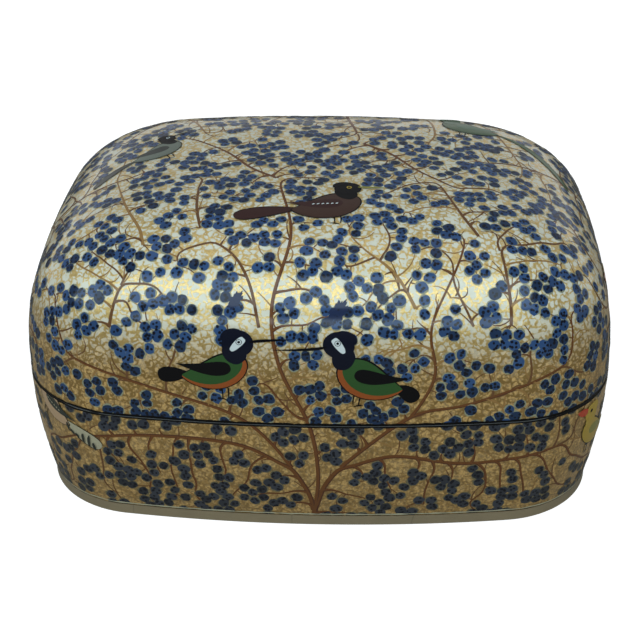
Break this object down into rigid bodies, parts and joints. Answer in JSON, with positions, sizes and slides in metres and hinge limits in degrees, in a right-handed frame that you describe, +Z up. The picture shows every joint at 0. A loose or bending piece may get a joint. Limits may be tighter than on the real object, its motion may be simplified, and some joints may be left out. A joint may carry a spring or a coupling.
{
  "type": "papier mache box",
  "caption": "Hollow lacquered papier mache box with a lift-off pillow-domed lid that seats over a collar, on a flat foot board.",
  "frame": {"origin": "middle of the foot board's underside, on the surface that the box stands on", "axes": "+X along the box's length, +Y from the front to the back, +Z up, the way the lid lifts"},
  "size_m": [0.152, 0.114, 0.078],
  "materials": {
    "painted_pulp": "gloss",
    "black_lacquer": "gloss",
    "foot_paint": "satin"
  },
  "bodies": {
    "base": {"foot_board": "foot_paint", "base_shell": "painted_pulp", "locating_collar": "black_lacquer"},
    "lid": {"lid_shell": "painted_pulp"}
  },
  "joints": [
    {"name": "lid_lift", "type": "slide", "parent": "base", "child": "lid", "axis": [0, 0, 1], "range_m": [0, 0.09]}
  ]
}
